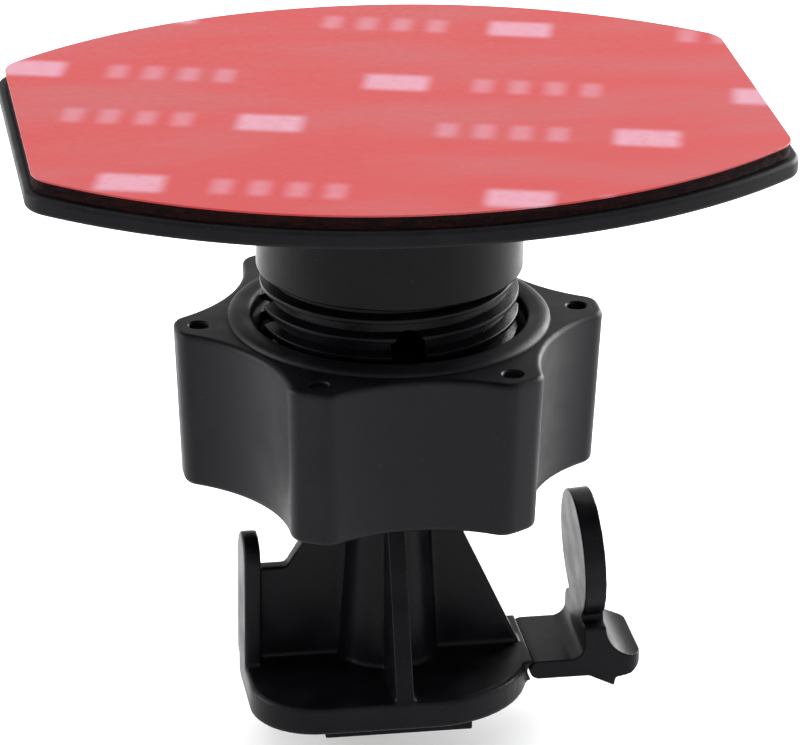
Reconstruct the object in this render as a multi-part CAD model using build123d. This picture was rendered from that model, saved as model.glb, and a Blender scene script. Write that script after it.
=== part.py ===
from build123d import *
import math
import os

# Windscreen mount for a dash camera, in millimetres.
# Origin: centre of the adhesive face, +Z out of that face, X along the base plate's length.
# Everything hangs below the face: pad, plate, threaded collar, clamp nut, ball, stem, bracket.

# --- base: release liner, foam adhesive pad and plate, a barrel outline with two straight ends
LINER_T = 0.15
PAD_T = 0.95
PLATE_T = 1.4
PAD_LENGTH = 56.2
PAD_END_WIDTH = 24.7
PAD_MID_WIDTH = 46.8
PLATE_LENGTH = 57.3
PLATE_END_WIDTH = 25.6
PLATE_MID_WIDTH = 47.6
PAD_CORNER_R = 2.8
PLATE_CORNER_R = 3.0
PLATE_EDGE_R = 0.35

# --- collar: plain barrel, shoulder, then a threaded skirt with four slots, and a ball cup inside
COLLAR_R = 10.2
SHOULDER_Z = -12.8
COLLAR_END_Z = -25.9
THREAD_CORE_R = 9.15
THREAD_CREST_R = 9.9
THREAD_PITCH = 1.5
THREAD_ROOT_W = 1.0
THREAD_CREST_W = 0.35
THREAD_TOP_Z = -13.225
THREAD_TURNS = 8.1
SLOT_W = 2.6
SLOT_TOP_Z = -14.7
SLOT_COUNT = 4
CORE_HOLE_R = 5.5
CORE_HOLE_TOP_Z = -4.4

# --- ball joint
BALL_Z = -24.0
BALL_R = 8.0
BALL_FIT = 0.08
BALL_CORE_R = 3.0
BALL_CORE_FIT = 0.06

# --- clamp nut: six lobes with concave flutes between them, a little narrower at the bottom
NUT_TOP_Z = -17.2
NUT_BOTTOM_Z = -29.8
LOBE_COUNT = 6
LOBE_TOP_R = 16.55
LOBE_BOTTOM_R = 15.95
LOBE_HALF_ANGLE = 5.8
LOBE_CORNER_R = 1.0
FLUTE_TOP_R = 13.15
NUT_EDGE_R = 0.45
RIM_INNER_R = 11.0
RIM_OUTER_R = 12.4
RIM_H = 0.55
DIMPLE_R = 0.75
DIMPLE_DEPTH = 0.7
DIMPLE_CIRCLE_R = 14.65
NUT_BORE_R = 10.05
NUT_MOUTH_Z = -18.4
NUT_FLOOR_Z = -28.05
NUT_HOLE_R = 7.4
NUT_HOLE_MOUTH_R = 9.4

# --- pressure ring: spherical seat under the ball, keyed into the collar's slots
RING_TOP_Z = -26.2
RING_BOTTOM_Z = -27.95
RING_OUTER_R = 9.7
RING_HOLE_R = 7.0
KEY_W = 2.3
KEY_TOP_Z = -24.4
KEY_INNER_R = 8.35
KEY_OUTER_R = 9.0

# --- stem and bracket
BRACKET_TOP_Z = -45.5
BRACKET_T = 2.3
STEM_TOP_R = 3.15
STEM_TOP_Z = -29.0
STEM_BOTTOM_R = 4.0
RIB_T = 1.4
RIB_TOP_HALF = 3.8
RIB_TOP_Z = -29.8
RIB_FOOT_FRONT = 9.9
RIB_FOOT_SIDE = 10.6
BRACKET_LEFT_X = 11.5
BRACKET_RIGHT_X = 10.9
LUG_X = 11.2
BRACKET_HALF_Y = 10.1
FRONT_LEFT_R = 5.0
FRONT_RIGHT_R = 8.5
BACK_CORNER_R = 9.5
BRACKET_EDGE_R = 0.3
WALL_T = 1.3
WALL_HALF_W = 2.3
WALL_TOP_Z = -34.9
WALL_STEP_Z = -37.75
WALL_STEP_X = -8.0
RAIL_LENGTH = 11.6
RAIL_NECK_HALF = 5.0
RAIL_NECK_H = 0.9
RAIL_HEAD_HALF = 7.0
RAIL_HEAD_H = 1.0

# --- latch: a springy tongue with an upright thumb paddle, an end pad and a hook below
LATCH_PIVOT_X = 11.6
TONGUE_T = 1.5
TONGUE_TOP_Z = -45.65
TONGUE_HALF_W = 4.15
LATCH_ROOT_FIT = 0.07
LATCH_END_X = 19.9
LATCH_END_R = 1.5
HOOK_START_X = 15.6
HOOK_TIP_X = 17.65
HOOK_DROP = 1.0
HOOK_BACK_X = 17.8
END_BOTTOM_Z = -47.45
END_LIP_Z = -46.6
PADDLE_X = 15.2
PADDLE_T = 1.7
PADDLE_CENTRE_Z = -38.2
PADDLE_R = 5.05
PADDLE_LEAN = 3.5
PADDLE_NECK_HALF = 2.8
PADDLE_FOOT_Z = -42.95
PADDLE_FILLET_IN = 1.1
PADDLE_FILLET_OUT = 2.7

PAD_TOP_Z = -LINER_T
PLATE_TOP_Z = PAD_TOP_Z - PAD_T
PLATE_BOTTOM_Z = PLATE_TOP_Z - PLATE_T
BRACKET_BOTTOM_Z = BRACKET_TOP_Z - BRACKET_T
LATCH_PIVOT_Z = TONGUE_TOP_Z - TONGUE_T / 2
CUP_R = BALL_R + BALL_FIT


def barrel_outline(length, end_width, mid_width, corner_r):
    """Two straight short ends joined by two bulging long sides, with rounded corners."""
    x = length / 2
    y = end_width / 2
    edges = Curve() + [
        Line((x, -y), (x, y)),
        ThreePointArc((x, y), (0, mid_width / 2), (-x, y)),
        Line((-x, y), (-x, -y)),
        ThreePointArc((-x, -y), (0, -mid_width / 2), (x, -y)),
    ]
    face = make_face(edges)
    return fillet(face.vertices(), corner_r)


def slab(face, top_z, thickness):
    """The face's outline as a slab, measured down from its top."""
    return Pos(0, 0, top_z - thickness) * extrude(face, thickness)


def disc(radius, top_z, bottom_z):
    """A plain cylinder on the Z axis between two heights."""
    return Pos(0, 0, (top_z + bottom_z) / 2) * Cylinder(radius, top_z - bottom_z)


def pad_outline():
    return barrel_outline(PAD_LENGTH, PAD_END_WIDTH, PAD_MID_WIDTH, PAD_CORNER_R)


def release_liner():
    return slab(pad_outline(), 0, LINER_T)


def adhesive_pad():
    return slab(pad_outline(), PAD_TOP_Z, PAD_T)


def base_plate():
    outline = barrel_outline(PLATE_LENGTH, PLATE_END_WIDTH, PLATE_MID_WIDTH, PLATE_CORNER_R)
    plate = slab(outline, PLATE_TOP_Z, PLATE_T)
    rims = plate.faces().sort_by(Axis.Z)
    return fillet(rims[0].outer_wire().edges() + rims[-1].outer_wire().edges(), PLATE_EDGE_R)


def thread_ridge(pitch, turns, core_r, crest_r, root_w, crest_w, start_z):
    """A right-hand helical ridge whose section is a trapezoid standing on core_r."""
    path = Helix(pitch, pitch * turns, core_r, center=(0, 0, start_z))
    sunk = 0.1
    section = Plane((core_r, 0, start_z), x_dir=(1, 0, 0), z_dir=(0, -1, 0)) * Polygon(
        (-sunk, -root_w / 2),
        (crest_r - core_r, -crest_w / 2),
        (crest_r - core_r, crest_w / 2),
        (-sunk, root_w / 2),
        align=None,
    )
    return sweep(section, path=path, is_frenet=True)


def socket_collar():
    """Barrel, shoulder and threaded skirt in one, split by slots so that its fingers can flex."""
    collar = disc(COLLAR_R, PLATE_BOTTOM_Z, SHOULDER_Z)
    collar += disc(THREAD_CORE_R, SHOULDER_Z, COLLAR_END_Z)
    start_z = THREAD_TOP_Z - THREAD_PITCH * THREAD_TURNS
    collar += thread_ridge(
        THREAD_PITCH, THREAD_TURNS, THREAD_CORE_R, THREAD_CREST_R, THREAD_ROOT_W, THREAD_CREST_W, start_z
    )
    collar -= Pos(0, 0, BALL_Z) * Sphere(CUP_R)
    collar -= disc(CUP_R, BALL_Z, COLLAR_END_Z - 1)
    collar -= disc(CORE_HOLE_R, CORE_HOLE_TOP_Z, BALL_Z)
    slot_h = SLOT_TOP_Z - SLOT_W / 2 - COLLAR_END_Z + 1
    slot = Pos(COLLAR_R, 0, COLLAR_END_Z - 1 + slot_h / 2) * Box(COLLAR_R, SLOT_W, slot_h)
    slot += Pos(COLLAR_R, 0, SLOT_TOP_Z - SLOT_W / 2) * Rot(0, 90, 0) * Cylinder(SLOT_W / 2, COLLAR_R)
    for i in range(SLOT_COUNT):
        collar -= Rot(0, 0, i * 360 / SLOT_COUNT) * slot
    return collar


def lobed_outline(tip_r, flute_r):
    """Six rounded tips joined by concave arcs that come in to flute_r midway."""
    step = 360 / LOBE_COUNT
    edges = []
    for i in range(LOBE_COUNT):
        a = i * step
        before = polar(tip_r, a - LOBE_HALF_ANGLE)
        after = polar(tip_r, a + LOBE_HALF_ANGLE)
        nxt = polar(tip_r, a + step - LOBE_HALF_ANGLE)
        edges.append(ThreePointArc(before, polar(tip_r, a), after))
        edges.append(ThreePointArc(after, polar(flute_r, a + step / 2), nxt))
    face = make_face(Curve() + edges)
    return fillet(face.vertices(), LOBE_CORNER_R)


def polar(radius, degrees):
    angle = math.radians(degrees)
    return (radius * math.cos(angle), radius * math.sin(angle))


def clamp_nut():
    """Lobed grip with a raised rim round its mouth, a plain bore over the thread and a floor."""
    draft = LOBE_TOP_R - LOBE_BOTTOM_R
    top = Pos(0, 0, NUT_TOP_Z) * lobed_outline(LOBE_TOP_R, FLUTE_TOP_R)
    bottom = Pos(0, 0, NUT_BOTTOM_Z) * lobed_outline(LOBE_BOTTOM_R, FLUTE_TOP_R - draft)
    nut = loft([bottom, top], ruled=True)
    ends = nut.faces().sort_by(Axis.Z)
    nut = fillet(ends[0].outer_wire().edges() + ends[-1].outer_wire().edges(), NUT_EDGE_R)
    rim_mid = (RIM_INNER_R + RIM_OUTER_R) / 2
    rim = make_face(
        Curve()
        + [
            Line((RIM_INNER_R, NUT_TOP_Z - 1), (RIM_OUTER_R, NUT_TOP_Z - 1)),
            Line((RIM_OUTER_R, NUT_TOP_Z - 1), (RIM_OUTER_R, NUT_TOP_Z)),
            ThreePointArc((RIM_OUTER_R, NUT_TOP_Z), (rim_mid, NUT_TOP_Z + RIM_H), (RIM_INNER_R, NUT_TOP_Z)),
            Line((RIM_INNER_R, NUT_TOP_Z), (RIM_INNER_R, NUT_TOP_Z - 1)),
        ]
    )
    nut += revolve(Plane.XZ * rim, Axis.Z)
    cavity = Polygon(
        (0, NUT_TOP_Z + 1),
        (RIM_INNER_R, NUT_TOP_Z + 1),
        (RIM_INNER_R, NUT_MOUTH_Z + (RIM_INNER_R - NUT_BORE_R)),
        (NUT_BORE_R, NUT_MOUTH_Z),
        (NUT_BORE_R, NUT_FLOOR_Z),
        (NUT_HOLE_R, NUT_FLOOR_Z),
        (NUT_HOLE_R, NUT_FLOOR_Z - 0.3),
        (NUT_HOLE_MOUTH_R, NUT_BOTTOM_Z),
        (NUT_HOLE_MOUTH_R, NUT_BOTTOM_Z - 1),
        (0, NUT_BOTTOM_Z - 1),
        align=None,
    )
    nut -= revolve(Plane.XZ * cavity, Axis.Z)
    for i in range(LOBE_COUNT):
        x, y = polar(DIMPLE_CIRCLE_R, i * 360 / LOBE_COUNT)
        nut -= Pos(x, y, 0) * disc(DIMPLE_R, NUT_TOP_Z + 1, NUT_TOP_Z - DIMPLE_DEPTH)
    return nut


def pressure_ring():
    """Seat ring on the nut's floor, with one key for each collar slot so that it can't turn."""
    ring = disc(RING_OUTER_R, RING_TOP_Z, RING_BOTTOM_Z)
    ring_key = Pos((KEY_INNER_R + KEY_OUTER_R) / 2, 0, (KEY_TOP_Z + RING_TOP_Z) / 2) * Box(
        KEY_OUTER_R - KEY_INNER_R, KEY_W, KEY_TOP_Z - RING_TOP_Z
    )
    for i in range(SLOT_COUNT):
        ring += Rot(0, 0, i * 360 / SLOT_COUNT) * ring_key
    ring -= Pos(0, 0, BALL_Z) * Sphere(CUP_R)
    return ring - disc(RING_HOLE_R, RING_TOP_Z + 1, RING_BOTTOM_Z - 1)


def ball():
    whole = Pos(0, 0, BALL_Z) * Sphere(BALL_R)
    return whole - Pos(0, 0, BALL_Z) * Sphere(BALL_CORE_R + BALL_CORE_FIT)


def ball_core():
    return Pos(0, 0, BALL_Z) * Sphere(BALL_CORE_R)


def below_ball(solid):
    """Cuts away what would stand inside the ball's own space."""
    return solid - Pos(0, 0, BALL_Z) * Sphere(CUP_R)


def stem_post():
    h = STEM_TOP_Z - BRACKET_TOP_Z
    post = Pos(0, 0, BRACKET_TOP_Z + h / 2) * Cone(STEM_BOTTOM_R, STEM_TOP_R, h)
    return below_ball(post)


def rib(points):
    """A flat web in the XZ plane from its outline, with the post's space cut out of it."""
    web = extrude(Plane.XZ * Polygon(*points, align=None), RIB_T / 2, both=True)
    post_h = STEM_TOP_Z - BRACKET_TOP_Z
    post = Pos(0, 0, BRACKET_TOP_Z + post_h / 2) * Cone(STEM_BOTTOM_R, STEM_TOP_R, post_h)
    return below_ball(web - post)


def plain_rib(foot):
    return rib([(0, BRACKET_TOP_Z), (foot, BRACKET_TOP_Z), (RIB_TOP_HALF, RIB_TOP_Z), (0, RIB_TOP_Z)])


def right_gusset():
    return plain_rib(RIB_FOOT_SIDE)


def stem_ribs():
    """The ribs in front of and behind the post, as two solids."""
    return Compound([Rot(0, 0, -90) * plain_rib(RIB_FOOT_FRONT), Rot(0, 0, 90) * plain_rib(RIB_FOOT_FRONT)])


def left_gusset():
    """The rib towards the finger wall: level where it meets the wall, then up along the post."""
    wall_x = -BRACKET_LEFT_X + WALL_T
    return rib(
        [
            (0, BRACKET_TOP_Z),
            (wall_x, BRACKET_TOP_Z),
            (wall_x, WALL_STEP_Z),
            (WALL_STEP_X, WALL_STEP_Z),
            (-RIB_TOP_HALF, RIB_TOP_Z),
            (0, RIB_TOP_Z),
        ]
    )


def nearest_corner(face, side):
    """The outline's vertex furthest towards one of the four diagonals."""
    return max(face.vertices(), key=lambda v: v.X * side[0] + v.Y * side[1])


def bracket_plate():
    """Rounded plate, tightest at its front left corner, with a straight lug for the latch's root."""
    middle_x = (BRACKET_RIGHT_X - BRACKET_LEFT_X) / 2
    outline = Pos(middle_x, 0) * Rectangle(BRACKET_LEFT_X + BRACKET_RIGHT_X, 2 * BRACKET_HALF_Y)
    for corner_r, side in ((FRONT_LEFT_R, (-1, -1)), (FRONT_RIGHT_R, (1, -1))):
        outline = fillet(nearest_corner(outline, side), corner_r)
    for side in ((-1, 1), (1, 1)):
        outline = fillet(nearest_corner(outline, side), BACK_CORNER_R)
    lug = Pos(LUG_X - BACK_CORNER_R / 2, 0) * Rectangle(BACK_CORNER_R, 2 * TONGUE_HALF_W + 0.4)
    plate = slab(outline + lug, BRACKET_TOP_Z, BRACKET_T)
    ends = plate.faces().sort_by(Axis.Z)
    plate = fillet(ends[0].outer_wire().edges() + ends[-1].outer_wire().edges(), BRACKET_EDGE_R)
    groove_r = TONGUE_T / 2 + LATCH_ROOT_FIT
    groove = Pos(LATCH_PIVOT_X, 0, LATCH_PIVOT_Z) * Rot(90, 0, 0) * Cylinder(groove_r, 4 * TONGUE_HALF_W)
    return plate - groove


def finger_wall():
    """Upright tab with a round top, level with the plate's end."""
    half = WALL_HALF_W
    base = BRACKET_TOP_Z
    edges = Curve() + [
        Line((-half, base), (half, base)),
        Line((half, base), (half, WALL_TOP_Z - half)),
        ThreePointArc((half, WALL_TOP_Z - half), (0, WALL_TOP_Z), (-half, WALL_TOP_Z - half)),
        Line((-half, WALL_TOP_Z - half), (-half, base)),
    ]
    tab = extrude(Plane.YZ * make_face(edges), WALL_T)
    return Pos(-BRACKET_LEFT_X, 0, 0) * tab


def rail_part(half_width, top_z, height):
    return Pos(0, 0, top_z - height / 2) * Box(RAIL_LENGTH, 2 * half_width, height)


def rail_neck():
    return rail_part(RAIL_NECK_HALF, BRACKET_BOTTOM_Z, RAIL_NECK_H)


def rail_head():
    head = rail_part(RAIL_HEAD_HALF, BRACKET_BOTTOM_Z - RAIL_NECK_H, RAIL_HEAD_H)
    return chamfer(head.edges().filter_by(Axis.Y), 0.2)


def latch_tongue():
    """Tongue with a rounded root, fillets each side of the paddle, an end pad and a hook."""
    top = TONGUE_TOP_Z
    bottom = TONGUE_TOP_Z - TONGUE_T
    inner = PADDLE_X - PADDLE_FILLET_IN
    outer = PADDLE_X + PADDLE_T + PADDLE_FILLET_OUT
    root_top = (LATCH_PIVOT_X, top)
    root_bottom = (LATCH_PIVOT_X, bottom)
    root_back = (LATCH_PIVOT_X - TONGUE_T / 2, LATCH_PIVOT_Z)
    edges = Curve() + [
        ThreePointArc(root_bottom, root_back, root_top),
        Line(root_top, (inner, top)),
        quarter((inner, top), (PADDLE_X, top + PADDLE_FILLET_IN), (inner, top + PADDLE_FILLET_IN)),
        Line((PADDLE_X, top + PADDLE_FILLET_IN), (PADDLE_X, top)),
        Line((PADDLE_X, top), (PADDLE_X + PADDLE_T, top)),
        Line((PADDLE_X + PADDLE_T, top), (PADDLE_X + PADDLE_T, top + PADDLE_FILLET_OUT)),
        quarter(
            (PADDLE_X + PADDLE_T, top + PADDLE_FILLET_OUT), (outer, top), (outer, top + PADDLE_FILLET_OUT)
        ),
        Line((outer, top), (LATCH_END_X, top)),
        Line((LATCH_END_X, top), (LATCH_END_X, END_LIP_Z)),
        Line((LATCH_END_X, END_LIP_Z), (LATCH_END_X - 0.8, END_BOTTOM_Z + 0.25)),
        Line((LATCH_END_X - 0.8, END_BOTTOM_Z + 0.25), (HOOK_BACK_X, END_BOTTOM_Z)),
        Line((HOOK_BACK_X, END_BOTTOM_Z), (HOOK_TIP_X, bottom - HOOK_DROP)),
        Line((HOOK_TIP_X, bottom - HOOK_DROP), (HOOK_START_X, bottom)),
        Line((HOOK_START_X, bottom), root_bottom),
    ]
    tongue = extrude(Plane.XZ * make_face(edges), TONGUE_HALF_W, both=True)
    upright = tongue.edges().filter_by(Axis.Z).group_by(Axis.X)[-1]
    return fillet(upright, LATCH_END_R)


def quarter(start, end, centre):
    """A concave quarter arc between two points about a centre."""
    radius = math.dist(start, centre)
    mid = ((start[0] + end[0]) / 2 - centre[0], (start[1] + end[1]) / 2 - centre[1])
    scale = radius / math.hypot(*mid)
    return ThreePointArc(start, (centre[0] + mid[0] * scale, centre[1] + mid[1] * scale), end)


def thumb_paddle():
    """Round paddle on a narrow neck that leans back from a foot as wide as the tongue."""
    top = PADDLE_CENTRE_Z + PADDLE_R
    lean_x = (top - PADDLE_FOOT_Z) * math.tan(math.radians(PADDLE_LEAN))
    side = Polyline(
        (0, TONGUE_TOP_Z),
        (PADDLE_T, TONGUE_TOP_Z),
        (PADDLE_T, PADDLE_FOOT_Z),
        (PADDLE_T - lean_x, top),
        (-lean_x, top),
        (0, PADDLE_FOOT_Z),
        close=True,
    )
    side = extrude(Plane.XZ * make_face(side), PADDLE_R, both=True)
    foot_h = PADDLE_FOOT_Z - TONGUE_TOP_Z
    neck_h = PADDLE_CENTRE_Z - PADDLE_FOOT_Z
    front = Pos(0, PADDLE_CENTRE_Z) * Circle(PADDLE_R)
    front += Pos(0, PADDLE_FOOT_Z + neck_h / 2) * Rectangle(2 * PADDLE_NECK_HALF, neck_h)
    front += Pos(0, TONGUE_TOP_Z + foot_h / 2) * Rectangle(2 * TONGUE_HALF_W, foot_h)
    front = extrude(Plane.YZ * front, PADDLE_T, both=True)
    return Pos(PADDLE_X, 0, 0) * (side & front)


PARTS = {
    "release_liner": release_liner,
    "adhesive_pad": adhesive_pad,
    "base_plate": base_plate,
    "socket_collar": socket_collar,
    "clamp_nut": clamp_nut,
    "pressure_ring": pressure_ring,
    "ball": ball,
    "ball_core": ball_core,
    "stem_post": stem_post,
    "stem_ribs": stem_ribs,
    "left_gusset": left_gusset,
    "right_gusset": right_gusset,
    "bracket_plate": bracket_plate,
    "finger_wall": finger_wall,
    "rail_neck": rail_neck,
    "rail_head": rail_head,
    "latch_tongue": latch_tongue,
    "thumb_paddle": thumb_paddle,
}

os.makedirs("parts", exist_ok=True)
for name, make in PARTS.items():
    export_step(make(), f"parts/{name}.step")
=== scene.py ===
import math

import bmesh
import bpy
from mathutils import Matrix, Quaternion, Vector, noise


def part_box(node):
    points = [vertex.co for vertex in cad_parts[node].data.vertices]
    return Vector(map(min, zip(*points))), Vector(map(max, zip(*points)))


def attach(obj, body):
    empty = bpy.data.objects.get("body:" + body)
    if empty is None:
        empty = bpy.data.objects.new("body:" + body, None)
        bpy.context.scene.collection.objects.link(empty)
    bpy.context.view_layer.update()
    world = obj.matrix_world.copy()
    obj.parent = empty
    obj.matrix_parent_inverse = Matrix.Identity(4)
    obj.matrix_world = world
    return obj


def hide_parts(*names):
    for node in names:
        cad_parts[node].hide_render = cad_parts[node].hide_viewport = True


# A windscreen mount for a dash camera. Meshes are modelled in millimetres and brought to metres
# by add_piece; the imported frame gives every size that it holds.

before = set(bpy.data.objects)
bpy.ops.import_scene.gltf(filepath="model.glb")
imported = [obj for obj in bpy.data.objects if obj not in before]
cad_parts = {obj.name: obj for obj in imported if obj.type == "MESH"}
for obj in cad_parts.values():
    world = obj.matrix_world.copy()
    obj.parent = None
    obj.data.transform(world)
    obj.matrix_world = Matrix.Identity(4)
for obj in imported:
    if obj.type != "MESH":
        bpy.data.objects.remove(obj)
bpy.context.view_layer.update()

MM = 0.001
FULL_TURN = 2 * math.pi


def box_mm(node):
    """A CAD node's lowest and highest corners in millimetres."""
    low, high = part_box(node)
    return low / MM, high / MM


LINER_LOW, LINER_HIGH = box_mm("release_liner")
PAD_LOW, PAD_HIGH = box_mm("adhesive_pad")
PLATE_LOW, PLATE_HIGH = box_mm("base_plate")
COLLAR_LOW, COLLAR_HIGH = box_mm("socket_collar")
NUT_LOW, NUT_HIGH = box_mm("clamp_nut")
BALL_LOW, BALL_HIGH = box_mm("ball")
BRACKET_LOW, BRACKET_HIGH = box_mm("bracket_plate")
WALL_LOW, WALL_HIGH = box_mm("finger_wall")
RIBS_HIGH = box_mm("stem_ribs")[1]
GUSSET_HIGH = box_mm("right_gusset")[1]
POST_HIGH = box_mm("stem_post")[1]
NECK_LOW, NECK_HIGH = box_mm("rail_neck")
HEAD_LOW, HEAD_HIGH = box_mm("rail_head")
TONGUE_LOW, TONGUE_HIGH = box_mm("latch_tongue")
PADDLE_HIGH = box_mm("thumb_paddle")[1]


# --------------------------------------------------------------------------- mesh building

def mesh_object(name, points, faces):
    """A mesh object, with its flat many-sided ends shaded flat and its sides smooth."""
    mesh = bpy.data.meshes.new(name)
    mesh.from_pydata([tuple(p) for p in points], [], faces)
    work = bmesh.new()
    work.from_mesh(mesh)
    bmesh.ops.recalc_face_normals(work, faces=work.faces)
    for face in work.faces:
        face.smooth = len(face.verts) == 4
    work.to_mesh(mesh)
    work.free()
    obj = bpy.data.objects.new(name, mesh)
    bpy.context.scene.collection.objects.link(obj)
    return obj


def loft(name, rings, closed=False):
    """Skins rings of equally many points. A closed loft meets its first ring, an open one is capped."""
    count = len(rings[0])
    points = [p for ring in rings for p in ring]
    faces = []
    spans = len(rings) if closed else len(rings) - 1
    for i in range(spans):
        low = i * count
        high = (i + 1) % len(rings) * count
        for j in range(count):
            k = (j + 1) % count
            faces.append((low + j, low + k, high + k, high + j))
    if not closed:
        faces.append(tuple(range(count)))
        faces.append(tuple(range(spans * count, (spans + 1) * count)))
    return mesh_object(name, points, faces)


def arc(centre, radius, start, end, steps):
    """Points on a circle from one angle to another, both ends included."""
    angles = [start + (end - start) * i / steps for i in range(steps + 1)]
    return [(centre[0] + radius * math.cos(a), centre[1] + radius * math.sin(a)) for a in angles]


def rounded(corners, steps=5, hold=0.1, closed=True):
    """Corners given as (x, y, radius) become points on arcs, with a point just before and after each."""
    points = []
    for i, (x, y, radius) in enumerate(corners):
        here = Vector((x, y))
        if radius == 0 or (not closed and i in (0, len(corners) - 1)):
            points.append((x, y))
            continue
        to_last = (Vector(corners[i - 1][:2]) - here).normalized()
        to_next = (Vector(corners[(i + 1) % len(corners)][:2]) - here).normalized()
        half = to_last.angle(to_next) / 2
        reach = radius / math.tan(half)
        centre = here + (to_last + to_next).normalized() * radius / math.sin(half)
        first = here + to_last * reach - centre
        sweep = first.angle_signed(here + to_next * reach - centre)
        if hold:
            points.append(tuple(here + to_last * (reach + hold)))
        start = math.atan2(first.y, first.x)
        points += arc(centre, radius, start, start - sweep, steps)
        if hold:
            points.append(tuple(here + to_next * (reach + hold)))
    return points


def turned(name, section, closed=True, segments=192):
    """A section of (radius, height) points turned about the Z axis."""
    angles = [FULL_TURN * i / segments for i in range(segments)]
    rings = [[(r * math.cos(a), r * math.sin(a), z) for a in angles] for r, z in section]
    return loft(name, rings, closed)


def offset_ring(outline, inset, z):
    """An outline moved inwards along its own normals, at a height."""
    ring = []
    for i, (x, y) in enumerate(outline):
        before = Vector(outline[i - 1])
        after = Vector(outline[(i + 1) % len(outline)])
        along = (after - before).normalized()
        ring.append((x - along.y * inset, y + along.x * inset, z))
    return ring


def slab(name, outline, low, high, edge_r, steps=4, hold=0.1):
    """An upright slab with rounded top and bottom edges."""
    quarter = [math.pi / 2 * i / steps for i in range(steps + 1)]
    lower = [(edge_r * (1 - math.sin(a)), low + edge_r * (1 - math.cos(a))) for a in quarter]
    upper = [(inset, high + low - z) for inset, z in reversed(lower)]
    profile = [(edge_r + hold, low)] + lower + [(0, low + edge_r + hold)]
    profile += [(0, high - edge_r - hold)] + upper + [(edge_r + hold, high)]
    return loft(name, [offset_ring(outline, inset, z) for inset, z in profile])


def prism(name, outline, plane, low, high):
    """An outline pushed through a thickness along Z, Y or X."""
    place = {
        "xy": lambda u, v, w: (u, v, w),
        "xz": lambda u, v, w: (u, w, v),
        "yz": lambda u, v, w: (w, u, v),
    }[plane]
    return loft(name, [[place(u, v, w) for u, v in outline] for w in (low, high)])


def settle(obj):
    """Applies an object's modifiers to its mesh."""
    bpy.context.view_layer.update()
    evaluated = obj.evaluated_get(bpy.context.evaluated_depsgraph_get())
    mesh = bpy.data.meshes.new_from_object(evaluated)
    obj.modifiers.clear()
    obj.data = mesh


def combine(target, others, operation):
    """Adds other solids to the target, or cuts them from it, and removes them."""
    for other in others:
        modifier = target.modifiers.new("combine", "BOOLEAN")
        modifier.operation = operation
        modifier.solver = "MANIFOLD"
        modifier.object = other
        settle(target)
        bpy.data.objects.remove(other)


def melt(obj, voxel, passes):
    """Runs a piece's solids together, with soft edges and inside corners, as a mould gives them."""
    remesh = obj.modifiers.new("remesh", "REMESH")
    remesh.mode = "VOXEL"
    remesh.voxel_size = voxel
    remesh.use_smooth_shade = True
    smooth = obj.modifiers.new("smooth", "SMOOTH")
    smooth.factor = 0.5
    smooth.iterations = passes
    settle(obj)


def crease(obj, degrees):
    """Smooth shading, broken at edges sharper than an angle."""
    for polygon in obj.data.polygons:
        polygon.use_smooth = True
    obj.data.set_sharp_from_angle(angle=math.radians(degrees))


def add_piece(obj, body, material, replaced):
    """Brings a finished piece to metres, gives it its material, parents it to its body's empty and hides the
    CAD nodes it replaces.
    """
    obj.data.transform(Matrix.Scale(MM, 4))
    obj.data.materials.clear()
    obj.data.materials.append(material)
    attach(obj, body)
    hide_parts(*replaced)


# --------------------------------------------------------------------------- materials

def math_node(tree, operation, *values):
    """The result of a Math node on sockets and numbers."""
    node = tree.nodes.new("ShaderNodeMath")
    node.operation = operation
    for socket, value in zip(node.inputs, values):
        if isinstance(value, bpy.types.NodeSocket):
            tree.links.new(value, socket)
        else:
            socket.default_value = value
    return node.outputs["Value"]


def remap(tree, value, low, high, to_low, to_high):
    """A value smoothly carried from one range to another."""
    node = tree.nodes.new("ShaderNodeMapRange")
    node.interpolation_type = "SMOOTHSTEP"
    tree.links.new(value, node.inputs["Value"])
    for name, number in zip(("From Min", "From Max", "To Min", "To Max"), (low, high, to_low, to_high)):
        node.inputs[name].default_value = number
    return node.outputs["Result"]


def noise_node(tree, size, detail=2.0, roughness=0.5, stretch=(1, 1, 1)):
    """Noise over the piece's own coordinates whose lumps are about size millimetres across."""
    place = tree.nodes.new("ShaderNodeTexCoord")
    mapping = tree.nodes.new("ShaderNodeMapping")
    mapping.inputs["Scale"].default_value = [1 / (s * size * MM) for s in stretch]
    field = tree.nodes.new("ShaderNodeTexNoise")
    field.inputs["Scale"].default_value = 1.0
    field.inputs["Detail"].default_value = detail
    field.inputs["Roughness"].default_value = roughness
    tree.links.new(place.outputs["Object"], mapping.inputs["Vector"])
    tree.links.new(mapping.outputs["Vector"], field.inputs["Vector"])
    return field.outputs["Fac"]


def mix_colours(tree, share, first, second):
    """Two colours, each a socket or a tuple, mixed by a socket."""
    node = tree.nodes.new("ShaderNodeMix")
    node.data_type = "RGBA"
    tree.links.new(share, node.inputs["Factor"])
    for socket, colour in zip((node.inputs[6], node.inputs[7]), (first, second)):
        if isinstance(colour, bpy.types.NodeSocket):
            tree.links.new(colour, socket)
        else:
            socket.default_value = (*colour, 1)
    return node.outputs[2]


def add_bump(tree, shader, height, depth):
    """Relief of the given depth in millimetres where height runs from 0 to 1."""
    bump = tree.nodes.new("ShaderNodeBump")
    bump.inputs["Strength"].default_value = 1.0
    bump.inputs["Distance"].default_value = depth * MM
    tree.links.new(height, bump.inputs["Height"])
    tree.links.new(bump.outputs["Normal"], shader.inputs["Normal"])


def new_material(name):
    """A material with its tree and its Principled shader."""
    material = bpy.data.materials.new(name)
    material.use_nodes = True
    tree = material.node_tree
    return material, tree, tree.nodes["Principled BSDF"]


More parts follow.
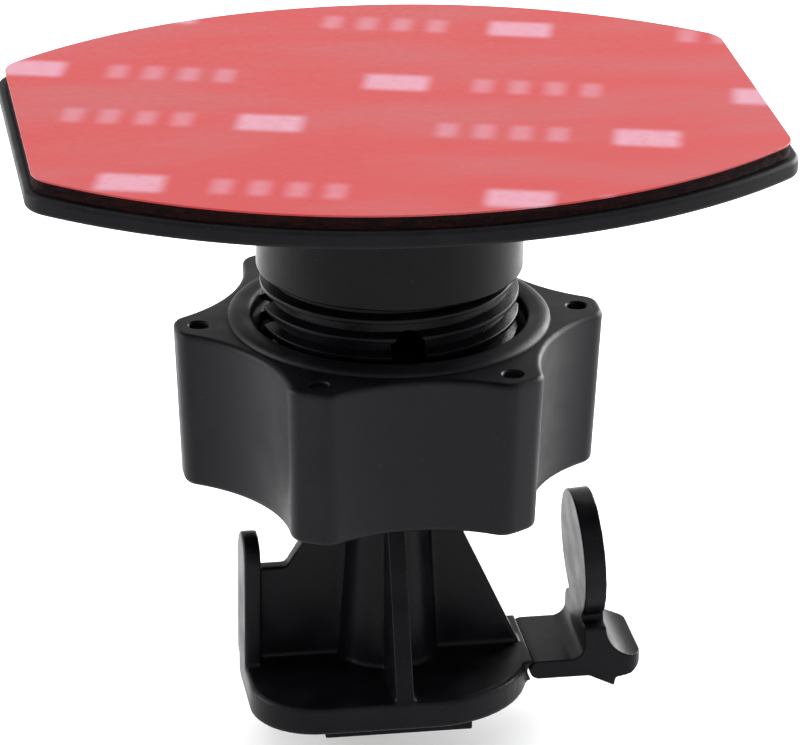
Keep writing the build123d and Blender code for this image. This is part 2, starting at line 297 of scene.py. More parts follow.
def plastic(name, dark, light, rough_low, rough_high, grain, grain_depth, specular):
    """Moulded black plastic: fine mould grain, slow changes of gloss, and a few specks of dust."""
    material, tree, shader = new_material(name)
    cloud = noise_node(tree, 2.6, detail=4)
    fine = noise_node(tree, grain, detail=2, roughness=0.6)
    specks = remap(tree, noise_node(tree, 0.22, detail=1), 0.735, 0.80, 0, 1)
    body = mix_colours(tree, remap(tree, cloud, 0.3, 0.7, 0, 1), dark, light)
    dusty = mix_colours(tree, math_node(tree, "MULTIPLY", specks, 0.35), body, (0.05, 0.049, 0.048))
    tree.links.new(dusty, shader.inputs["Base Color"])
    gloss = remap(tree, cloud, 0.3, 0.7, rough_low, rough_high)
    patchy = math_node(tree, "MULTIPLY_ADD", fine, 0.10, gloss)
    tree.links.new(math_node(tree, "MULTIPLY_ADD", specks, 0.25, patchy), shader.inputs["Roughness"])
    shader.inputs["Specular IOR Level"].default_value = specular
    add_bump(tree, shader, fine, grain_depth)
    return material


def foam():
    """Dark acrylic foam cut through its cells, with painted red glints in the cells standing for the liner's
    colour reflected there.
    """
    material, tree, shader = new_material("acrylic_foam")
    cells = noise_node(tree, 0.16, detail=3, roughness=0.65)
    streaks = noise_node(tree, 0.5, detail=2, stretch=(2.5, 2.5, 0.5))
    streaked = remap(tree, streaks, 0.35, 0.7, 0, 1)
    body = mix_colours(tree, streaked, (0.003, 0.0005, 0.0006), (0.011, 0.0013, 0.0016))
    # Painted glints: reddish specks in the foam's cells are a painted reflection of the red liner, not the
    # foam's own colour.
    painted_glints = remap(tree, cells, 0.62, 0.75, 0, 0.8)
    tree.links.new(mix_colours(tree, painted_glints, body, (0.040, 0.009, 0.009)), shader.inputs["Base Color"])
    tree.links.new(remap(tree, cells, 0.3, 0.7, 0.85, 0.6), shader.inputs["Roughness"])
    shader.inputs["Specular IOR Level"].default_value = 0.06
    add_bump(tree, shader, cells, 0.06)
    return material


PRINT_ANGLE = math.radians(-14.4)
PRINT_PERIOD = 28.0
PRINT_ROW = 11.9
PRINT_FIRST_ROW = 4.7
PRINT_ODD_SHIFT = 1.8
PRINT_SLIDE = 8.5
PRINT_BLUR = 0.6
BLOCK_HALF_X = 2.4
BLOCK_HALF_Y = 1.7
TILE_HALF_X = 0.72
TILE_HALF_Y = 1.5
TILE_INK = 0.5
TILE_PITCH = 2.75
TILE_START = 5.2
TILE_COUNT = 4


def inside(tree, distance, edge):
    """1 where a distance is within an edge, fading over the print's soft border."""
    return remap(tree, distance, edge - PRINT_BLUR, edge + PRINT_BLUR, 1, 0)


def liner_print(tree):
    """Slanting rows of a solid block and a run of tiles, every other row reversed, as a share of ink."""
    place = tree.nodes.new("ShaderNodeTexCoord")
    mapping = tree.nodes.new("ShaderNodeMapping")
    mapping.inputs["Rotation"].default_value = (0, 0, -PRINT_ANGLE)
    mapping.inputs["Scale"].default_value = (1 / MM, 1 / MM, 1 / MM)
    split = tree.nodes.new("ShaderNodeSeparateXYZ")
    tree.links.new(place.outputs["Object"], mapping.inputs["Vector"])
    tree.links.new(mapping.outputs["Vector"], split.inputs["Vector"])
    above = math_node(tree, "SUBTRACT", split.outputs["Y"], PRINT_FIRST_ROW)
    row = math_node(tree, "FLOOR", math_node(tree, "MULTIPLY_ADD", above, 1 / PRINT_ROW, 0.5))
    odd = math_node(tree, "PINGPONG", row, 1.0)
    down = math_node(tree, "MULTIPLY_ADD", row, -PRINT_ROW, above)
    height = math_node(tree, "ABSOLUTE", math_node(tree, "MULTIPLY_ADD", odd, -PRINT_ODD_SHIFT, down))
    side = math_node(tree, "MULTIPLY_ADD", odd, -2.0, 1.0)
    slid = math_node(tree, "MULTIPLY_ADD", row, -PRINT_SLIDE, split.outputs["X"])
    lead = TILE_START + 1
    turned_x = math_node(tree, "MULTIPLY_ADD", slid, side, lead)
    wrapped = math_node(tree, "FLOORED_MODULO", turned_x, PRINT_PERIOD)
    along = math_node(tree, "SUBTRACT", wrapped, lead)
    from_block = math_node(tree, "ABSOLUTE", along)
    in_block_x = inside(tree, from_block, BLOCK_HALF_X)
    block = math_node(tree, "MULTIPLY", in_block_x, inside(tree, height, BLOCK_HALF_Y))
    in_tiles = math_node(tree, "SUBTRACT", along, TILE_START)
    from_left = math_node(tree, "FLOORED_MODULO", in_tiles, TILE_PITCH)
    from_tile = math_node(tree, "ABSOLUTE", math_node(tree, "SUBTRACT", from_left, TILE_PITCH / 2))
    in_tile_x = inside(tree, from_tile, TILE_HALF_X)
    tiles = math_node(tree, "MULTIPLY", in_tile_x, inside(tree, height, TILE_HALF_Y))
    middle = TILE_COUNT * TILE_PITCH / 2
    reach = math_node(tree, "ABSOLUTE", math_node(tree, "SUBTRACT", in_tiles, middle))
    tiles = math_node(tree, "MULTIPLY", tiles, inside(tree, reach, middle))
    return math_node(tree, "MAXIMUM", block, math_node(tree, "MULTIPLY", tiles, TILE_INK))


def liner_film():
    """Glossy red release film with a soft pale print and faint paler bands."""
    material, tree, shader = new_material("red_liner_film")
    bands = noise_node(tree, 9.0, detail=3, stretch=(2.6, 0.8, 1))
    mottle = noise_node(tree, 0.8, detail=3)
    banded = remap(tree, bands, 0.38, 0.66, 0, 1)
    body = mix_colours(tree, banded, (0.335, 0.018, 0.019), (0.308, 0.038, 0.041))
    body = mix_colours(tree, remap(tree, mottle, 0.3, 0.75, 0, 0.16), body, (0.345, 0.068, 0.072))
    ink = math_node(tree, "MULTIPLY", liner_print(tree), remap(tree, mottle, 0.25, 0.6, 0.55, 0.72))
    tree.links.new(mix_colours(tree, ink, body, (0.43, 0.24, 0.31)), shader.inputs["Base Color"])
    tree.links.new(remap(tree, mottle, 0.3, 0.7, 0.30, 0.42), shader.inputs["Roughness"])
    shader.inputs["Specular IOR Level"].default_value = 0.22
    add_bump(tree, shader, noise_node(tree, 3.5, detail=2), 0.02)
    return material


LINER_MATERIAL = liner_film()
FOAM_MATERIAL = foam()
BASE_MATERIAL = plastic(
    "base_plastic", (0.0022, 0.0020, 0.0030), (0.0042, 0.0039, 0.0052),
    0.36, 0.46, 0.14, 0.010, 0.08)
COLLAR_MATERIAL = plastic(
    "collar_plastic", (0.0014, 0.0013, 0.0020), (0.0026, 0.0024, 0.0034),
    0.20, 0.30, 0.20, 0.006, 0.08)
NUT_MATERIAL = plastic(
    "nut_plastic", (0.0026, 0.0023, 0.0038), (0.0046, 0.0042, 0.0062),
    0.36, 0.46, 0.12, 0.012, 0.12)
BRACKET_MATERIAL = plastic(
    "bracket_plastic", (0.0018, 0.0016, 0.0026), (0.0036, 0.0032, 0.0046),
    0.26, 0.36, 0.16, 0.008, 0.09)
SEAT_MATERIAL = plastic(
    "seat_plastic", (0.0040, 0.0040, 0.0046), (0.0070, 0.0070, 0.0078),
    0.40, 0.50, 0.16, 0.008, 0.15)


# --------------------------------------------------------------------------- base

PAD_END_WIDTH = 24.7
PLATE_END_WIDTH = 25.6
PAD_CORNER_R = 2.8
PLATE_CORNER_R = 3.0
OUTLINE_STEP = 0.3
PLATE_EDGE_R = 0.35
MARK_X = 20
MARK_Y = 10
MARK_R = 1.5
MARK_DEPTH = 0.08
FOAM_HOLLOW = 0.10
FOAM_ROUGHNESS = 0.10
FOAM_LAYERS = 9


def barrel_outline(low, high, end_width, corner_r):
    """Two straight ends joined by two bulging sides with rounded corners, from its box and end width."""
    x = (high.x - low.x) / 2
    bulge = (high.y - low.y - end_width) / 2
    radius = (x * x + bulge * bulge) / (2 * bulge)
    centre_y = high.y - radius
    corner_x = x - corner_r
    corner_y = centre_y + math.sqrt((radius - corner_r) ** 2 - corner_x ** 2)
    turn = math.atan2(corner_y - centre_y, corner_x)
    end_steps = round(corner_y / OUTLINE_STEP)
    quarter = [(x, corner_y * i / end_steps) for i in range(end_steps)]
    quarter += arc((corner_x, corner_y), corner_r, 0, turn, 10)[:-1]
    quarter += arc((0, centre_y), radius, turn, math.pi / 2, round(x / OUTLINE_STEP))
    left = [(-px, py) for px, py in reversed(quarter[:-1])]
    upper = quarter + left
    return upper + [(-px, -py) for px, py in upper[1:-1]]


def build_liner():
    outline = barrel_outline(LINER_LOW, LINER_HIGH, PAD_END_WIDTH, PAD_CORNER_R)
    film = slab("liner_film", outline, LINER_LOW.z, LINER_HIGH.z, 0.03, steps=2, hold=0.02)
    add_piece(film, "liner", LINER_MATERIAL, ["release_liner"])


def build_foam():
    """The pad's cut side is a little hollow between its skins and rough from the blade."""
    outline = barrel_outline(PAD_LOW, PAD_HIGH, PAD_END_WIDTH, PAD_CORNER_R)
    height = PAD_HIGH.z - PAD_LOW.z
    rings = []
    for layer in range(FOAM_LAYERS + 1):
        share = layer / FOAM_LAYERS
        z = PAD_LOW.z + height * share
        hollow = FOAM_HOLLOW * math.sin(math.pi * share)
        ring = []
        for x, y, _ in offset_ring(outline, hollow, z):
            rough = noise.noise(Vector((x * 1.9, y * 1.9, z * 4.5)))
            rough += 0.6 * noise.noise(Vector((x * 6, y * 6, z * 9)))
            pull = 1 + FOAM_ROUGHNESS * min(0.2, rough) / math.hypot(x, y)
            ring.append((x * pull, y * pull, z))
        rings.append(ring)
    pad = loft("foam_pad", rings)
    add_piece(pad, "base", FOAM_MATERIAL, ["adhesive_pad"])


def build_plate():
    outline = barrel_outline(PLATE_LOW, PLATE_HIGH, PLATE_END_WIDTH, PLATE_CORNER_R)
    plate = slab("mount_plate", outline, PLATE_LOW.z, PLATE_HIGH.z, PLATE_EDGE_R)
    marks = []
    for x in (-MARK_X, MARK_X):
        for y in (-MARK_Y, MARK_Y):
            section = [(MARK_R, PLATE_LOW.z - 0.5), (MARK_R, PLATE_LOW.z + MARK_DEPTH)]
            mark = turned("mark", section, closed=False, segments=64)
            mark.data.transform(Matrix.Translation((x, y, 0)))
            marks.append(mark)
    combine(plate, marks, "DIFFERENCE")
    crease(plate, 30)
    add_piece(plate, "base", BASE_MATERIAL, ["base_plate"])


COLLAR_R = COLLAR_HIGH.x
SHOULDER_Z = -12.8
THREAD_CORE_R = 9.15
THREAD_CREST_R = 9.9
THREAD_PITCH = 1.5
THREAD_TOP_Z = -13.225
THREAD_TURNS = 8.1
THREAD_ROOT_W = 1.0
THREAD_CREST_W = 0.35
THREAD_STEPS = 128
SLOT_W = 2.6
SLOT_TOP_Z = -14.7
CUP_R = 8.08
CORE_HOLE_R = 5.5
CORE_HOLE_TOP_Z = -4.4
BALL_Z = (BALL_LOW.z + BALL_HIGH.z) / 2


def thread_ridge():
    """A right-hand helical ridge that runs out to nothing at both ends."""
    rise = THREAD_CREST_R - THREAD_CORE_R
    section = rounded(
        [(-0.15, -THREAD_ROOT_W / 2, 0), (rise, -THREAD_CREST_W / 2, 0.1), (rise, THREAD_CREST_W / 2, 0.1),
         (-0.15, THREAD_ROOT_W / 2, 0)], steps=3, hold=0)
    count = round(THREAD_TURNS * THREAD_STEPS)
    rings = []
    for i in range(count + 1):
        turn = i / THREAD_STEPS
        angle = turn * FULL_TURN
        z = THREAD_TOP_Z - THREAD_PITCH * (THREAD_TURNS - turn)
        fade = min(1, 4 * turn, 4 * (THREAD_TURNS - turn))
        ring = []
        for out, up in section:
            r = THREAD_CORE_R - 0.15 + (out + 0.15) * (0.1 + 0.9 * fade)
            ring.append((r * math.cos(angle), r * math.sin(angle), z + up))
        rings.append(ring)
    return loft("ridge", rings)


def slot_cutter(angle):
    """A round-topped slot through the skirt's wall."""
    half = SLOT_W / 2
    outline = [(-half, COLLAR_LOW.z - 1)] + [(half, COLLAR_LOW.z - 1)]
    outline += arc((0, SLOT_TOP_Z - half), half, 0, math.pi, 16)
    cutter = prism("slot", outline, "yz", COLLAR_R / 2, COLLAR_R * 1.5)
    cutter.data.transform(Matrix.Rotation(angle, 4, "Z"))
    return cutter


def build_collar():
    """Barrel with a small root at the plate, undercut shoulder, threaded skirt and ball cup."""
    outer = rounded(
        [(COLLAR_R + 0.6, PLATE_LOW.z, 0), (COLLAR_R + 0.6, PLATE_LOW.z - 0.02, 0),
         (COLLAR_R, PLATE_LOW.z - 0.7, 0.5), (COLLAR_R, SHOULDER_Z, 0.22),
         (THREAD_CORE_R, SHOULDER_Z - 0.15, 0.1), (THREAD_CORE_R, COLLAR_LOW.z, 0.3),
         (CUP_R, COLLAR_LOW.z, 0)], closed=False)
    reach = math.asin(CORE_HOLE_R / CUP_R)
    cup = arc((0, BALL_Z), CUP_R, 0, math.pi / 2 - reach, 16)
    section = outer + cup + [(CORE_HOLE_R, CORE_HOLE_TOP_Z)]
    collar = turned("threaded_collar", section, closed=False)
    combine(collar, [thread_ridge()], "UNION")
    combine(collar, [slot_cutter(i * FULL_TURN / 4) for i in range(4)], "DIFFERENCE")
    crease(collar, 32)
    add_piece(collar, "base", COLLAR_MATERIAL, ["socket_collar"])


# --------------------------------------------------------------------------- clamp nut

LOBES = 6
LOBE_TOP_R = 16.55
LOBE_BOTTOM_R = 15.95
LOBE_HALF_ANGLE = math.radians(5.8)
LOBE_CORNER_R = 1.5
FLUTE_TOP_R = 13.15
NUT_EDGE_R = 0.45
NUT_TOP_Z = -17.2
RIM_INNER_R = 10.6
RIM_OUTER_R = 12.4
RIM_CREST_R = 11.4
NUT_BORE_R = 10.05
NUT_MOUTH_Z = -18.4
NUT_FLOOR_Z = -28.05
NUT_HOLE_R = 7.4
NUT_HOLE_MOUTH_R = 9.4
DIMPLE_R = 0.75
DIMPLE_DEPTH = 0.7
DIMPLE_CIRCLE_R = 14.65


def circle_through(a, b, c):
    """Centre and radius of the circle through three points."""
    d = 2 * (a.x * (b.y - c.y) + b.x * (c.y - a.y) + c.x * (a.y - b.y))
    a2, b2, c2 = (p.length_squared for p in (a, b, c))
    x = (a2 * (b.y - c.y) + b2 * (c.y - a.y) + c2 * (a.y - b.y)) / d
    y = (a2 * (c.x - b.x) + b2 * (a.x - c.x) + c2 * (b.x - a.x)) / d
    return Vector((x, y)), (Vector((x, y)) - a).length


def polar(radius, angle):
    return Vector((radius * math.cos(angle), radius * math.sin(angle)))


def half_lobe(tip_r, flute_r):
    """From the middle of a tip to the middle of the next flute: tip arc, corner arc, flute arc."""
    step = FULL_TURN / LOBES
    edge = polar(tip_r, LOBE_HALF_ANGLE)
    flute_mid = polar(flute_r, step / 2)
    centre, radius = circle_through(edge, flute_mid, polar(tip_r, step - LOBE_HALF_ANGLE))
    inner = tip_r - LOBE_CORNER_R
    outer = radius + LOBE_CORNER_R
    reach = centre.length
    along = (inner ** 2 - outer ** 2 + reach ** 2) / (2 * reach)
    aside = math.sqrt(inner ** 2 - along ** 2)
    towards = centre / reach
    corner = towards * along + Vector((towards.y, -towards.x)) * aside
    corner_angle = math.atan2(corner.y, corner.x)
    points = arc((0, 0), tip_r, 0, corner_angle, 4)[:-1]
    meets = corner + (centre - corner).normalized() * LOBE_CORNER_R
    end_angle = math.atan2(meets.y - corner.y, meets.x - corner.x)
    points += arc(corner, LOBE_CORNER_R, corner_angle, end_angle, 8)[:-1]
    start = math.atan2(meets.y - centre.y, meets.x - centre.x) % FULL_TURN
    finish = math.atan2(flute_mid.y - centre.y, flute_mid.x - centre.x) % FULL_TURN
    return points + arc(centre, radius, start, finish, 22)


def lobed_outline(tip_r, flute_r):
    """The half lobe mirrored and turned round all six places."""
    half = half_lobe(tip_r, flute_r)
    step = FULL_TURN / LOBES
    back = [polar(math.hypot(x, y), step - math.atan2(y, x)) for x, y in reversed(half[1:-1])]
    lobe = [Vector(p) for p in half] + back
    outline = []
    for i in range(LOBES):
        turn = Matrix.Rotation(i * step, 2)
        outline += [tuple(turn @ p) for p in lobe]
    return outline


def nut_rings():
    """Rings from the bottom hole up the lobed side, over the rim and down the bore."""
    draft = LOBE_TOP_R - LOBE_BOTTOM_R
    height = NUT_TOP_Z - NUT_LOW.z
    top = lobed_outline(LOBE_TOP_R, FLUTE_TOP_R)
    bottom = lobed_outline(LOBE_BOTTOM_R, FLUTE_TOP_R - draft)
    angles = [math.atan2(y, x) for x, y in top]

    def circle(radius, z):
        return [(radius * math.cos(a), radius * math.sin(a), z) for a in angles]

    def side(share, inset):
        z = NUT_LOW.z + height * share
        outline = [tuple(Vector(b).lerp(Vector(t), share)) for b, t in zip(bottom, top)]
        return offset_ring(outline, inset, z)

    quarter = [math.pi / 2 * i / 5 for i in range(6)]
    lower = [(NUT_EDGE_R * (1 - math.cos(a)) / height, NUT_EDGE_R * (1 - math.sin(a))) for a in quarter]
    profile = [(0, NUT_EDGE_R + 0.15)] + lower + [(s, 0) for s in (0.07, 0.3, 0.5, 0.7, 0.93)]
    profile += [(1 - s, inset) for s, inset in reversed(lower)] + [(1, NUT_EDGE_R + 0.12)]
    rings = [side(share, inset) for share, inset in profile]

    foot = [min(RIM_OUTER_R, math.hypot(x, y) - 0.06) for x, y, _ in rings[-1]]
    rim_h = NUT_HIGH.z - NUT_TOP_Z
    for i in range(9):
        rise = math.pi / 2 * i / 8
        radii = [RIM_CREST_R + (f - RIM_CREST_R) * math.cos(rise) for f in foot]
        z = NUT_TOP_Z + rim_h * math.sin(rise)
        rings.append([(r * math.cos(a), r * math.sin(a), z) for r, a in zip(radii, angles)])
    inner = rounded(
        [(RIM_CREST_R, NUT_HIGH.z, 0), (RIM_INNER_R, NUT_HIGH.z - 0.15, 0.4),
         (RIM_INNER_R, NUT_MOUTH_Z + RIM_INNER_R - NUT_BORE_R, 0.3),
         (NUT_BORE_R, NUT_MOUTH_Z, 0.3), (NUT_BORE_R, NUT_FLOOR_Z, 0.15), (NUT_HOLE_R, NUT_FLOOR_Z, 0.1),
         (NUT_HOLE_R, NUT_FLOOR_Z - 0.3, 0.1), (NUT_HOLE_MOUTH_R, NUT_LOW.z, 0.25),
         (NUT_HOLE_MOUTH_R + 0.5, NUT_LOW.z, 0)],
        closed=False)
    rings += [circle(r, z) for r, z in inner[1:]]
    return rings


def dimple_cutter(angle):
    """A shallow blind hole with a small lead-in at its mouth."""
    mouth = NUT_TOP_Z
    section = rounded(
        [(0.02, mouth - DIMPLE_DEPTH, 0), (DIMPLE_R, mouth - DIMPLE_DEPTH, 0.2),
         (DIMPLE_R, mouth - 0.12, 0.08), (DIMPLE_R + 0.2, mouth + 0.06, 0), (DIMPLE_R + 0.2, mouth + 0.5, 0)],
        steps=3, hold=0, closed=False)
    cutter = turned("dimple", section, closed=False, segments=40)
    x, y = polar(DIMPLE_CIRCLE_R, angle)
    cutter.data.transform(Matrix.Translation((x, y, 0)))
    return cutter


def build_nut():
    nut = loft("lobed_nut", nut_rings(), closed=True)
    combine(nut, [dimple_cutter(i * FULL_TURN / LOBES) for i in range(LOBES)], "DIFFERENCE")
    crease(nut, 40)
    add_piece(nut, "nut", NUT_MATERIAL, ["clamp_nut"])


# --------------------------------------------------------------------------- bracket

RIB_T = 1.4
RIB_TOP_HALF = 3.8
STEM_TOP_R = 3.15
STEM_BOTTOM_R = 4.0
FRONT_LEFT_R = 5.0
FRONT_RIGHT_R = 8.5
BACK_CORNER_R = 9.5
PLATE_RIGHT_X = 10.9
WALL_STEP_Z = -37.75
WALL_STEP_X = -8.0
LATCH_PIVOT = Vector((11.6, 0, -46.4))
LATCH_ROOT_R = 0.75
ROOT_GAP = 0.2
GROOVE_HALF = 9
LUG_MARGIN = 0.2
POST_INTO_PLATE = 0.5
POST_INTO_BALL = 6
AXIS_R = 0.05
PLATE_ROUND_R = 0.3
SINK = 0.3
BRACKET_VOXEL = 0.17


def web(name, side, foot, profile=None):
    """A rib in the XZ plane from the axis to its foot on one side, as deep as the rib is thick."""
    top = RIBS_HIGH.z
    outline = profile or [
        (0, BRACKET_HIGH.z - SINK), (side * foot, BRACKET_HIGH.z - SINK), (side * foot, BRACKET_HIGH.z),
        (side * RIB_TOP_HALF, top), (0, top)]
    return prism(name, outline, "xz", -RIB_T / 2, RIB_T / 2)


def build_bracket():
    """Plate, finger wall, post, four webs and the rail for the camera, moulded in one."""
    left = BRACKET_LOW.x
    right = PLATE_RIGHT_X
    y = BRACKET_HIGH.y
    lug_x = BRACKET_HIGH.x
    lug_y = TONGUE_HIGH.y + LUG_MARGIN
    lug = [(0, -lug_y), (lug_x, -lug_y), (lug_x, lug_y), (0, lug_y)]
    outline = rounded(
        [(left, -y, FRONT_LEFT_R), (right, -y, FRONT_RIGHT_R), (right, y, BACK_CORNER_R),
         (left, y, BACK_CORNER_R)], steps=14, hold=0)
    bracket = slab("bracket_moulding", outline, BRACKET_LOW.z, BRACKET_HIGH.z, PLATE_ROUND_R)
    foot_z = BRACKET_LOW.z + POST_INTO_PLATE
    head_z = BALL_Z - POST_INTO_BALL
    post = [
        (AXIS_R, foot_z), (STEM_BOTTOM_R, foot_z), (STEM_BOTTOM_R, BRACKET_HIGH.z),
        (STEM_TOP_R, POST_HIGH.z), (STEM_TOP_R, head_z), (AXIS_R, head_z)]
    wall_x = WALL_HIGH.x
    left_profile = [
        (0, BRACKET_HIGH.z - SINK), (wall_x - SINK, BRACKET_HIGH.z - SINK), (wall_x - SINK, WALL_STEP_Z),
        (WALL_STEP_X, WALL_STEP_Z), (-RIB_TOP_HALF, RIBS_HIGH.z), (0, RIBS_HIGH.z)]
    half = WALL_HIGH.y
    wall = [(-half, BRACKET_HIGH.z - SINK), (half, BRACKET_HIGH.z - SINK)]
    wall += arc((0, WALL_HIGH.z - half), half, 0, math.pi, 20)
    solids = [
        turned("post", post, segments=96),
        web("right_web", 1, GUSSET_HIGH.x),
        web("left_web", -1, 0, left_profile),
        prism("wall", wall, "yz", WALL_LOW.x, WALL_HIGH.x),
        prism("lug", lug, "xy", LATCH_PIVOT.z - LATCH_ROOT_R, BRACKET_HIGH.z),
    ]
    for side in (-1, 1):
        cross_web = web("cross_web", side, RIBS_HIGH.y)
        cross_web.data.transform(Matrix.Rotation(math.pi / 2, 4, "Z"))
        solids.append(cross_web)
    for low, high in ((NECK_LOW, NECK_HIGH), (HEAD_LOW, HEAD_HIGH)):
        block = [(low.x, low.y), (high.x, low.y), (high.x, high.y), (low.x, high.y)]
        solids.append(prism("rail", block, "xy", low.z, high.z + 0.05))
    combine(bracket, solids, "UNION")
    groove_r = LATCH_ROOT_R + ROOT_GAP
    section = [(0.01, -GROOVE_HALF), (groove_r, -GROOVE_HALF), (groove_r, GROOVE_HALF), (0.01, GROOVE_HALF)]
    groove = turned("groove", section, segments=64)
    groove.data.transform(Matrix.Translation(LATCH_PIVOT) @ Matrix.Rotation(math.pi / 2, 4, "X"))
    combine(bracket, [groove], "DIFFERENCE")
    melt(bracket, BRACKET_VOXEL, 5)
    add_piece(
        bracket, "bracket", BRACKET_MATERIAL,
        ["stem_post", "stem_ribs", "left_gusset", "right_gusset",
         "bracket_plate", "finger_wall", "rail_neck", "rail_head"])


# --------------------------------------------------------------------------- latch

TONGUE_T = 1.5
HOOK_START_X = 15.6
HOOK_TIP_X = 17.65
HOOK_BACK = 0.15
HOOK_DROP = 1.0
END_CHAMFER_X = 0.8
END_CHAMFER_Z = 0.25
END_BOTTOM_Z = -47.45
END_LIP_Z = -46.6
PADDLE_X = 15.2
PADDLE_T = 1.7
PADDLE_R = 5.05
PADDLE_CENTRE_Z = -38.2
PADDLE_LEAN = math.radians(3.5)
PADDLE_NECK_HALF = 2.8
PADDLE_FOOT_Z = -42.95
PADDLE_FILLET_IN = 1.1
PADDLE_FILLET_OUT = 2.7
END_CORNER_R = 1.5
LATCH_VOXEL = 0.08


def build_latch():
    """Springy tongue, thumb paddle with a waist, end pad and a hook below, moulded in one."""
    top = LATCH_PIVOT.z + LATCH_ROOT_R
    bottom = top - TONGUE_T
    inner = PADDLE_X - PADDLE_FILLET_IN
    outer = PADDLE_X + PADDLE_T + PADDLE_FILLET_OUT
    side = arc((LATCH_PIVOT.x, LATCH_PIVOT.z), LATCH_ROOT_R, -math.pi / 2, -3 * math.pi / 2, 12)
    side += arc((inner, top + PADDLE_FILLET_IN), PADDLE_FILLET_IN, -math.pi / 2, 0, 8)
    side += arc((outer, top + PADDLE_FILLET_OUT), PADDLE_FILLET_OUT, math.pi, 3 * math.pi / 2, 12)
    side += [
        (TONGUE_HIGH.x, top), (TONGUE_HIGH.x, END_LIP_Z),
        (TONGUE_HIGH.x - END_CHAMFER_X, END_BOTTOM_Z + END_CHAMFER_Z),
        (HOOK_TIP_X + HOOK_BACK, END_BOTTOM_Z), (HOOK_TIP_X, bottom - HOOK_DROP), (HOOK_START_X, bottom)]
    latch = prism("thumb_latch", side, "xz", TONGUE_LOW.y, TONGUE_HIGH.y)
    half = TONGUE_HIGH.y
    plan = rounded(
        [(LATCH_PIVOT.x - 3, -half, 0), (TONGUE_HIGH.x, -half, END_CORNER_R),
         (TONGUE_HIGH.x, half, END_CORNER_R), (LATCH_PIVOT.x - 3, half, 0)], steps=8, hold=0)
    combine(latch, [prism("plan", plan, "xy", TONGUE_LOW.z - 5, PADDLE_HIGH.z)], "INTERSECT")
    blade = arc((0, PADDLE_CENTRE_Z), PADDLE_R, -math.acos(PADDLE_NECK_HALF / PADDLE_R), 0, 12)[:-1]
    blade += arc((0, PADDLE_CENTRE_Z), PADDLE_R, 0, math.pi + math.acos(PADDLE_NECK_HALF / PADDLE_R), 48)
    blade += [(-PADDLE_NECK_HALF, PADDLE_FOOT_Z - SINK), (PADDLE_NECK_HALF, PADDLE_FOOT_Z - SINK)]
    paddle = prism("paddle", blade, "yz", PADDLE_X, PADDLE_X + PADDLE_T)
    pivot = Matrix.Translation((PADDLE_X, 0, PADDLE_FOOT_Z))
    paddle.data.transform(pivot @ Matrix.Rotation(-PADDLE_LEAN, 4, "Y") @ pivot.inverted())
    neck = PADDLE_NECK_HALF
    flare = rounded(
        [(-half, top - SINK, 0), (-half, PADDLE_FOOT_Z, 0.35), (-neck, PADDLE_FOOT_Z, 0.5),
         (-neck, PADDLE_FOOT_Z + 1, 0), (neck, PADDLE_FOOT_Z + 1, 0), (neck, PADDLE_FOOT_Z, 0.2),
         (half, PADDLE_FOOT_Z, 1.1), (half, top - SINK, 0)], steps=5, hold=0)
    foot = prism("foot", flare, "yz", PADDLE_X, PADDLE_X + PADDLE_T)
    combine(latch, [foot, paddle], "UNION")
    melt(latch, LATCH_VOXEL, 3)
    add_piece(latch, "latch", BRACKET_MATERIAL, ["latch_tongue", "thumb_paddle"])


# --------------------------------------------------------------------------- CAD nodes that stay

def dress_node(name, material):
    """Gives a kept CAD node its material."""
    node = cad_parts[name]
    node.data.materials.clear()
    node.data.materials.append(material)


# --------------------------------------------------------------------------- camera, light, floor

CAMERA_PLACE = Vector((-0.0528, -0.3220, 0.1163))
CAMERA_AIM = Vector((0.1515, 0.9082, -0.3902))
CAMERA_ROLL = math.radians(0.63)
CAMERA_LENS = 207
FLOOR_Z = -0.0521
FLOOR_SIZE = 8


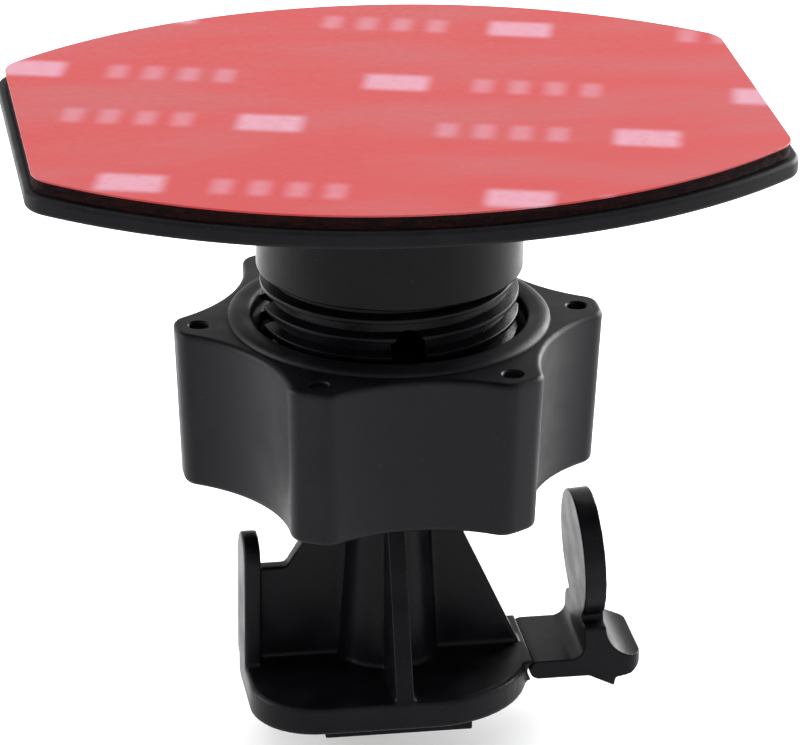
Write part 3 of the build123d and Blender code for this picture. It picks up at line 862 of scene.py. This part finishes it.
def add_camera():
    camera = bpy.data.objects.new("camera", bpy.data.cameras.new("camera"))
    camera.data.lens = CAMERA_LENS
    camera.data.clip_start = 0.01
    camera.data.clip_end = 50
    camera.location = CAMERA_PLACE
    camera.rotation_mode = "QUATERNION"
    camera.rotation_quaternion = CAMERA_AIM.to_track_quat("-Z", "Y") @ Quaternion((0, 0, 1), CAMERA_ROLL)
    bpy.context.scene.collection.objects.link(camera)
    bpy.context.scene.camera = camera


def add_panel(name, place, target, size, power):
    """A square soft light that faces a point."""
    lamp = bpy.data.lights.new(name, "AREA")
    lamp.shape = "SQUARE"
    lamp.size = size
    lamp.energy = power
    panel = bpy.data.objects.new(name, lamp)
    panel.location = place
    panel.rotation_mode = "QUATERNION"
    panel.rotation_quaternion = (Vector(target) - Vector(place)).to_track_quat("-Z", "Y")
    bpy.context.scene.collection.objects.link(panel)


def add_stage():
    half = FLOOR_SIZE / 2
    corners = [(x * half, y * half, FLOOR_Z) for x, y in ((-1, -1), (1, -1), (1, 1), (-1, 1))]
    floor = mesh_object("floor", corners, [(0, 1, 2, 3)])
    material, tree, shader = new_material("pale_floor")
    shader.inputs["Base Color"].default_value = (0.9, 0.9, 0.9, 1)
    shader.inputs["Roughness"].default_value = 0.8
    shader.inputs["Specular IOR Level"].default_value = 0.1
    shader.inputs["Emission Color"].default_value = (1, 1, 1, 1)
    shader.inputs["Emission Strength"].default_value = 0.22
    floor.data.materials.append(material)
    world = bpy.data.worlds.new("studio")
    world.use_nodes = True
    background = world.node_tree.nodes["Background"]
    background.inputs["Color"].default_value = (1.0, 1.0, 1.0, 1)
    background.inputs["Strength"].default_value = 1.0
    bpy.context.scene.world = world
    add_panel("top_panel", (0.0, 0.25, 0.9), (0, 0, 0), 1.0, 6)
    add_panel("left_panel", (-0.8, 0.25, 0.15), (0, 0, -0.03), 0.7, 7)
    add_panel("right_panel", (0.75, 0.45, 0.1), (0, 0, -0.03), 0.8, 26)
    bpy.context.scene.view_settings.view_transform = "Standard"


add_camera()
add_stage()
build_liner()
build_foam()
build_plate()
build_collar()
build_nut()
build_bracket()
build_latch()
dress_node("ball", BRACKET_MATERIAL)
dress_node("ball_core", BRACKET_MATERIAL)
dress_node("pressure_ring", SEAT_MATERIAL)
